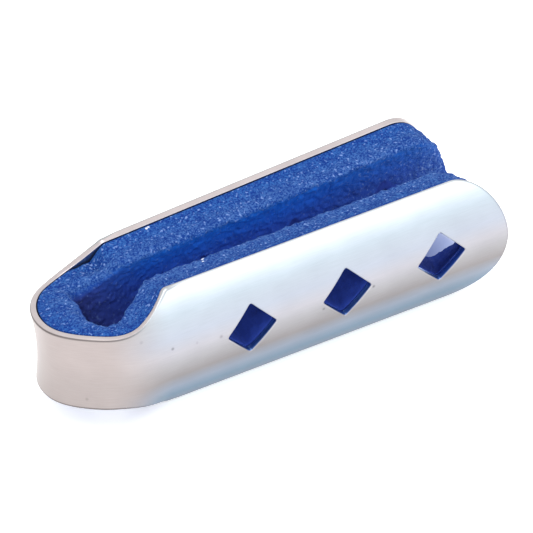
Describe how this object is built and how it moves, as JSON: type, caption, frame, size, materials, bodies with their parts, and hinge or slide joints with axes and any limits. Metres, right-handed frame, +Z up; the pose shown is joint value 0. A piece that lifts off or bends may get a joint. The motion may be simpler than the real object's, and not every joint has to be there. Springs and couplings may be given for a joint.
{
  "type": "finger splint",
  "caption": "U-shaped finger splint: an aluminium strip bent round the fingertip and lined with foam, its legs pierced by diamond windows.",
  "frame": {"origin": "middle of the splint's footprint, on the surface that its two legs stand on", "axes": "+X along the legs towards the open end, +Y towards the far leg, +Z up"},
  "size_m": [0.0756, 0.0262, 0.0213],
  "materials": {
    "satin_aluminium": "satin, fine rolled grain",
    "blue_foam": "open-cell foam, matte"
  },
  "bodies": {
    "root": {"aluminium_shell": "satin_aluminium", "foam_liner": "blue_foam"}
  },
  "joints": []
}
